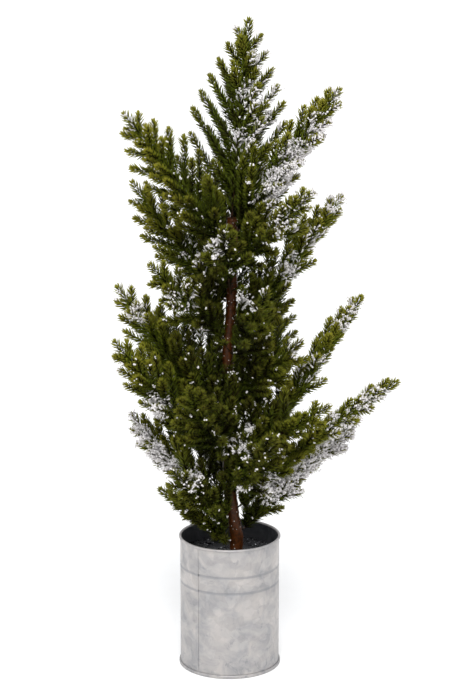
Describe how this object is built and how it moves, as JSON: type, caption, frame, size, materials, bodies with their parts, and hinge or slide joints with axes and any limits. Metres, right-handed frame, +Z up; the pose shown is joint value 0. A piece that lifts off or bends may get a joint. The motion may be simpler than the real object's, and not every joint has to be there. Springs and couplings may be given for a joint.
{
  "type": "artificial tabletop tree",
  "caption": "Small artificial spruce with bendable frosted boughs on a wrapped trunk, standing in a weighted round tin pot.",
  "frame": {"origin": "middle of the pot's flat underside, on the surface the tree stands on", "axes": "+Z up along the tree, -Y towards the side the tree is looked at from, +X to that viewer's right"},
  "size_m": [0.264, 0.2096, 0.611],
  "materials": {
    "galvanised_tin": "satin",
    "cement": "matte",
    "florist_foam": "matte",
    "black_grit": "matte",
    "steel_rod": "satin",
    "brown_wrap": "satin",
    "brown_wire": "satin",
    "moulded_needles": "matte"
  },
  "bodies": {
    "base": {"pot_wall": "galvanised_tin", "pot_bottom": "galvanised_tin", "cement_ballast": "cement", "foam_block": "florist_foam", "grit_bed": "black_grit", "trunk_rod": "steel_rod", "trunk_wrap": "brown_wrap"},
    "leader": {"leader_wire": "brown_wire", "leader_spray": "moulded_needles"},
    "left_1": {"left_1_wire": "brown_wire", "left_1_spray": "moulded_needles"},
    "left_2": {"left_2_wire": "brown_wire", "left_2_spray": "moulded_needles"},
    "left_3": {"left_3_wire": "brown_wire", "left_3_spray": "moulded_needles"},
    "left_4": {"left_4_wire": "brown_wire", "left_4_spray": "moulded_needles"},
    "left_5": {"left_5_wire": "brown_wire", "left_5_spray": "moulded_needles"},
    "left_6": {"left_6_wire": "brown_wire", "left_6_spray": "moulded_needles"},
    "left_7": {"left_7_wire": "brown_wire", "left_7_spray": "moulded_needles"},
    "right_1": {"right_1_wire": "brown_wire", "right_1_spray": "moulded_needles"},
    "right_2": {"right_2_wire": "brown_wire", "right_2_spray": "moulded_needles"},
    "right_3": {"right_3_wire": "brown_wire", "right_3_spray": "moulded_needles"},
    "right_4": {"right_4_wire": "brown_wire", "right_4_spray": "moulded_needles"},
    "right_5": {"right_5_wire": "brown_wire", "right_5_spray": "moulded_needles"},
    "right_6": {"right_6_wire": "brown_wire", "right_6_spray": "moulded_needles"},
    "right_7": {"right_7_wire": "brown_wire", "right_7_spray": "moulded_needles"},
    "right_8": {"right_8_wire": "brown_wire", "right_8_spray": "moulded_needles"},
    "front_1": {"front_1_wire": "brown_wire", "front_1_spray": "moulded_needles"},
    "front_2": {"front_2_wire": "brown_wire", "front_2_spray": "moulded_needles"},
    "front_3": {"front_3_wire": "brown_wire", "front_3_spray": "moulded_needles"},
    "front_4": {"front_4_wire": "brown_wire", "front_4_spray": "moulded_needles"},
    "front_5": {"front_5_wire": "brown_wire", "front_5_spray": "moulded_needles"},
    "back_1": {"back_1_wire": "brown_wire", "back_1_spray": "moulded_needles"},
    "back_2": {"back_2_wire": "brown_wire", "back_2_spray": "moulded_needles"},
    "back_3": {"back_3_wire": "brown_wire", "back_3_spray": "moulded_needles"},
    "back_4": {"back_4_wire": "brown_wire", "back_4_spray": "moulded_needles"},
    "back_5": {"back_5_wire": "brown_wire", "back_5_spray": "moulded_needles"}
  },
  "joints": [
    {"name": "leader_bend", "type": "hinge", "parent": "base", "child": "leader", "pos_m": [0.002, 0, 0.4316], "axis": [0, 1, 0], "range_deg": [-10, 10]},
    {"name": "left_1_bend", "type": "hinge", "parent": "base", "child": "left_1", "pos_m": [-0.00385, -0.00236, 0.40501], "axis": [-0.3746, 0.9272, 0], "range_deg": [-18, 12]},
    {"name": "left_2_bend", "type": "hinge", "parent": "base", "child": "left_2", "pos_m": [-0.00439, 0.00136, 0.352], "axis": [0.2079, 0.9781, 0], "range_deg": [-18, 12]},
    {"name": "left_3_bend", "type": "hinge", "parent": "base", "child": "left_3", "pos_m": [-0.00645, -0.00313, 0.318], "axis": [-0.4695, 0.8829, 0], "range_deg": [-18, 12]},
    {"name": "left_4_bend", "type": "hinge", "parent": "base", "child": "left_4", "pos_m": [-0.00864, -0.00012, 0.23201], "axis": [-0.0175, 0.9998, 0], "range_deg": [-18, 12]},
    {"name": "left_5_bend", "type": "hinge", "parent": "base", "child": "left_5", "pos_m": [-0.00755, -0.00269, 0.19999], "axis": [-0.3746, 0.9272, 0], "range_deg": [-18, 12]},
    {"name": "left_6_bend", "type": "hinge", "parent": "base", "child": "left_6", "pos_m": [-0.00459, 0.00077, 0.15], "axis": [0.1045, 0.9945, 0], "range_deg": [-18, 12]},
    {"name": "left_7_bend", "type": "hinge", "parent": "base", "child": "left_7", "pos_m": [-0.00072, -0.00207, 0.12001], "axis": [-0.2756, 0.9613, 0], "range_deg": [-15, 12]},
    {"name": "right_1_bend", "type": "hinge", "parent": "base", "child": "right_1", "pos_m": [0.00771, -0.00254, 0.41801], "axis": [-0.4067, -0.9135, 0], "range_deg": [-18, 12]},
    {"name": "right_2_bend", "type": "hinge", "parent": "base", "child": "right_2", "pos_m": [0.0066, -0.00444, 0.385], "axis": [-0.6947, -0.7193, 0], "range_deg": [-18, 12]},
    {"name": "right_3_bend", "type": "hinge", "parent": "base", "child": "right_3", "pos_m": [0.00579, 0.00116, 0.31501], "axis": [0.1736, -0.9848, 0], "range_deg": [-18, 12]},
    {"name": "right_4_bend", "type": "hinge", "parent": "base", "child": "right_4", "pos_m": [0.0048, -0.00214, 0.262], "axis": [-0.309, -0.9511, 0], "range_deg": [-18, 12]},
    {"name": "right_5_bend", "type": "hinge", "parent": "base", "child": "right_5", "pos_m": [0.00709, 0.00101, 0.17999], "axis": [0.1392, -0.9903, 0], "range_deg": [-18, 12]},
    {"name": "right_6_bend", "type": "hinge", "parent": "base", "child": "right_6", "pos_m": [0.00509, -0.00358, 0.20502], "axis": [-0.5, -0.866, 0], "range_deg": [-18, 12]},
    {"name": "right_7_bend", "type": "hinge", "parent": "base", "child": "right_7", "pos_m": [0.00925, -0.00128, 0.15499], "axis": [-0.1736, -0.9848, 0], "range_deg": [-18, 12]},
    {"name": "right_8_bend", "type": "hinge", "parent": "base", "child": "right_8", "pos_m": [0.0128, 0.0013, 0.132], "axis": [0.1736, -0.9848, 0], "range_deg": [-18, 12]},
    {"name": "front_1_bend", "type": "hinge", "parent": "base", "child": "front_1", "pos_m": [-0.00378, -0.00663, 0.20502], "axis": [-0.9272, 0.3746, 0], "range_deg": [-18, 12]},
    {"name": "front_2_bend", "type": "hinge", "parent": "base", "child": "front_2", "pos_m": [0.00319, -0.00666, 0.17201], "axis": [-0.9135, -0.4067, 0], "range_deg": [-18, 12]},
    {"name": "front_3_bend", "type": "hinge", "parent": "base", "child": "front_3", "pos_m": [0.00141, -0.00586, 0.296], "axis": [-0.866, -0.5, 0], "range_deg": [-18, 12]},
    {"name": "front_4_bend", "type": "hinge", "parent": "base", "child": "front_4", "pos_m": [0.0011, -0.00643, 0.36001], "axis": [-0.9903, 0.1392, 0], "range_deg": [-18, 12]},
    {"name": "front_5_bend", "type": "hinge", "parent": "base", "child": "front_5", "pos_m": [-0.00026, -0.00527, 0.13499], "axis": [-0.7071, 0.7071, 0], "range_deg": [-18, 12]},
    {"name": "back_1_bend", "type": "hinge", "parent": "base", "child": "back_1", "pos_m": [0.00417, 0.00595, 0.39801], "axis": [0.9397, -0.342, 0], "range_deg": [-18, 12]},
    {"name": "back_2_bend", "type": "hinge", "parent": "base", "child": "back_2", "pos_m": [0.00031, 0.00632, 0.34999], "axis": [0.9659, 0.2588, 0], "range_deg": [-18, 12]},
    {"name": "back_3_bend", "type": "hinge", "parent": "base", "child": "back_3", "pos_m": [0.00189, 0.00609, 0.235], "axis": [0.866, -0.5, 0], "range_deg": [-18, 12]},
    {"name": "back_4_bend", "type": "hinge", "parent": "base", "child": "back_4", "pos_m": [-0.00696, 0.00456, 0.21799], "axis": [0.6428, 0.766, 0], "range_deg": [-18, 12]},
    {"name": "back_5_bend", "type": "hinge", "parent": "base", "child": "back_5", "pos_m": [0.00023, 0.00727, 0.15999], "axis": [0.9903, 0.1392, 0], "range_deg": [-18, 12]}
  ]
}
